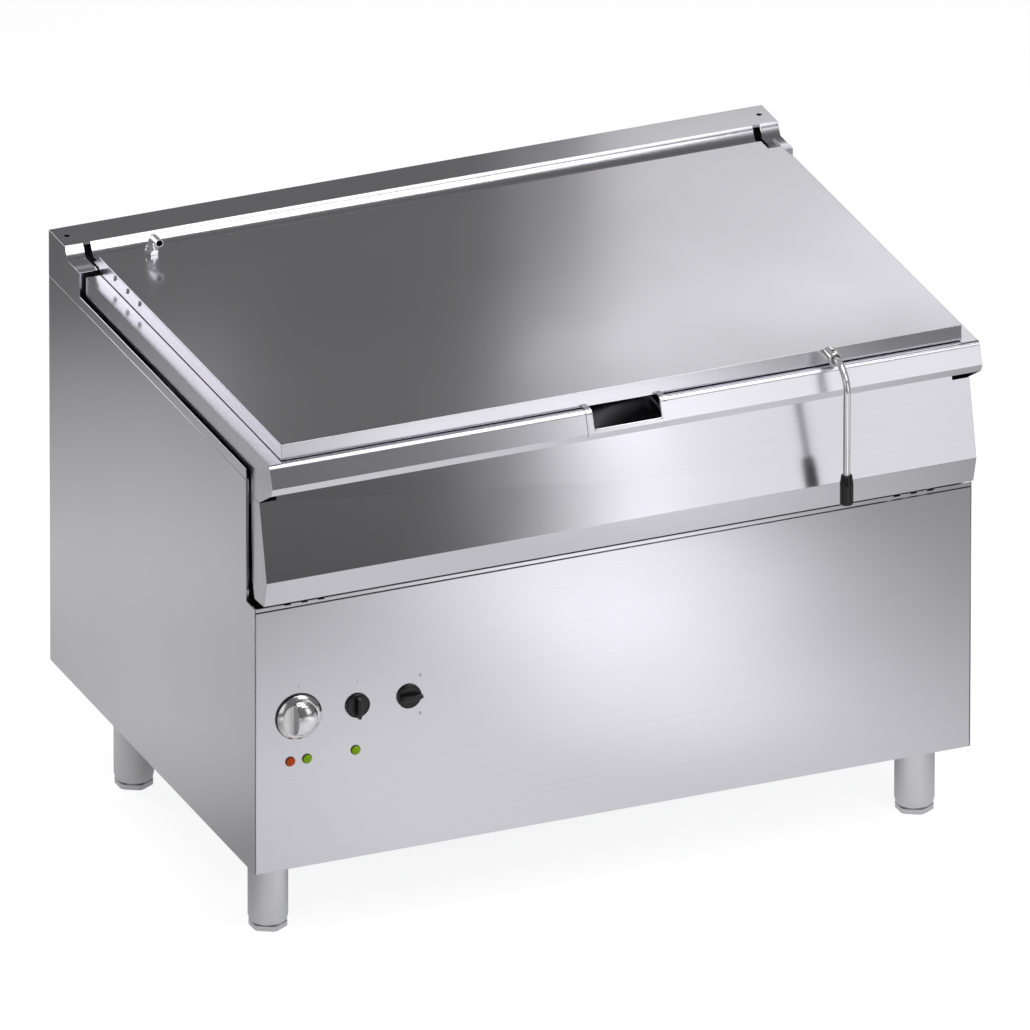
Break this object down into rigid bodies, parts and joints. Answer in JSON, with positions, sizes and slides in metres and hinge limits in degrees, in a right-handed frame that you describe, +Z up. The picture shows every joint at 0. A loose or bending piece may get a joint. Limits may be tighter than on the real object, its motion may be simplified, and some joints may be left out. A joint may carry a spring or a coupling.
{
  "type": "tilting bratt pan",
  "caption": "Electric bratt pan with a rectangular cooking vessel that tilts forwards on trunnions, hinged lid with a front handle, control panel and levelling feet.",
  "frame": {"origin": "middle of the plan on the floor, at rest with the lid shut", "axes": "+X to the right of someone facing the control panel, +Y to the rear, +Z up"},
  "size_m": [1.2, 0.9502, 0.9099],
  "materials": {
    "brushed_stainless": "fine brushed, long grain",
    "vessel_stainless": "satin",
    "galvanised_sheet": "mill finish",
    "painted_steel": "satin grey paint",
    "bronze": "machined",
    "leg_stainless": "turned satin",
    "drive_paint": "gloss enamel",
    "black_plastic": "fine matt",
    "grey_plastic": "moulded",
    "terminal_plastic": "moulded",
    "brass_fitting": "machined",
    "black_rubber": "moulded",
    "lamp_orange": "clear tinted lens",
    "lamp_green": "clear tinted lens",
    "cooking_steel": "rolled plate",
    "element_sheath": "heat-tinted sheath",
    "mineral_wool": "pressed slab",
    "machined_steel": "machined",
    "gear_steel": "machined, oiled",
    "satin_chrome": "satin"
  },
  "bodies": {
    "cabinet": {"base_frame": "galvanised_sheet", "base_tray": "galvanised_sheet", "side_panel_left": "brushed_stainless", "side_panel_right": "brushed_stainless", "side_strips": "brushed_stainless", "back_panel": "galvanised_sheet", "front_panel": "brushed_stainless", "front_rail": "brushed_stainless", "rear_column": "brushed_stainless", "splash_deck": "galvanised_sheet", "bearing_arm_left": "painted_steel", "bearing_arm_right": "painted_steel", "bearing_bushes": "bronze", "leg_tubes": "leg_stainless", "gearbox": "drive_paint", "gear_motor": "drive_paint", "thermostat": "grey_plastic", "power_switch": "black_plastic", "tilt_switch": "black_plastic", "contactors": "grey_plastic", "terminal_block": "terminal_plastic", "cable_gland": "black_plastic", "earth_stud": "brass_fitting", "rest_buffers": "black_rubber", "lamp_orange": "lamp_orange", "lamps_green": "lamp_green"},
    "pan": {"vessel": "vessel_stainless", "rim": "brushed_stainless", "pour_spout": "brushed_stainless", "casing": "brushed_stainless", "heat_plate": "cooking_steel", "heating_elements": "element_sheath", "insulation": "mineral_wool", "heater_tray": "galvanised_sheet", "cradle": "painted_steel", "trunnions": "machined_steel", "sector_gear": "gear_steel", "lid_ears": "machined_steel", "hinge_pins": "machined_steel"},
    "lid": {"lid_shell": "brushed_stainless", "lid_liner": "vessel_stainless", "lid_arms": "machined_steel", "lid_screws": "machined_steel", "handle_boss": "machined_steel", "handle_rod": "machined_steel", "handle_grip": "black_plastic", "vent_elbow": "machined_steel"},
    "temperature_control": {"knob_temperature": "satin_chrome", "knob_skirt": "black_plastic", "stem_temperature": "machined_steel"},
    "power_control": {"knob_power": "black_plastic", "stem_power": "machined_steel"},
    "tilt_control": {"knob_tilt": "black_plastic", "stem_tilt": "machined_steel"},
    "drive_pinion": {"pinion": "gear_steel"},
    "foot_front_left": {"foot_front_left": "leg_stainless"},
    "foot_front_right": {"foot_front_right": "leg_stainless"},
    "foot_rear_left": {"foot_rear_left": "leg_stainless"},
    "foot_rear_right": {"foot_rear_right": "leg_stainless"}
  },
  "joints": [
    {"name": "pan_tilt", "type": "hinge", "parent": "cabinet", "child": "pan", "pos_m": [0, -0.35092, 0.807], "axis": [1, 0, 0], "range_deg": [0, 80]},
    {"name": "lid_hinge", "type": "hinge", "parent": "pan", "child": "lid", "pos_m": [0, 0.36707, 0.844], "axis": [-1, 0, 0], "range_deg": [0, 85]},
    {"name": "pinion_spin", "type": "hinge", "parent": "cabinet", "child": "drive_pinion", "pos_m": [-0.55, -0.11722, 0.77416], "axis": [1, 0, 0], "range_deg": [-450, 0]},
    {"name": "temperature_turn", "type": "hinge", "parent": "cabinet", "child": "temperature_control", "pos_m": [-0.527, -0.36092, 0.3905], "axis": [0, -1, 0], "range_deg": [-270, 0]},
    {"name": "power_turn", "type": "hinge", "parent": "cabinet", "child": "power_control", "pos_m": [-0.429, -0.36092, 0.3915], "axis": [0, -1, 0], "range_deg": [0, 90]},
    {"name": "tilt_select", "type": "hinge", "parent": "cabinet", "child": "tilt_control", "pos_m": [-0.343, -0.36092, 0.3915], "axis": [0, -1, 0], "range_deg": [-45, 45], "stiffness_Nm_per_rad": 0.3},
    {"name": "foot_front_left_level", "type": "slide", "parent": "cabinet", "child": "foot_front_left", "axis": [0, 0, -1], "range_m": [0, 0.03]},
    {"name": "foot_front_right_level", "type": "slide", "parent": "cabinet", "child": "foot_front_right", "axis": [0, 0, -1], "range_m": [0, 0.03]},
    {"name": "foot_rear_left_level", "type": "slide", "parent": "cabinet", "child": "foot_rear_left", "axis": [0, 0, -1], "range_m": [0, 0.03]},
    {"name": "foot_rear_right_level", "type": "slide", "parent": "cabinet", "child": "foot_rear_right", "axis": [0, 0, -1], "range_m": [0, 0.03]}
  ],
  "couplings": [
    {"joint": "pinion_spin", "follows": "pan_tilt", "ratio": -5.5556}
  ]
}
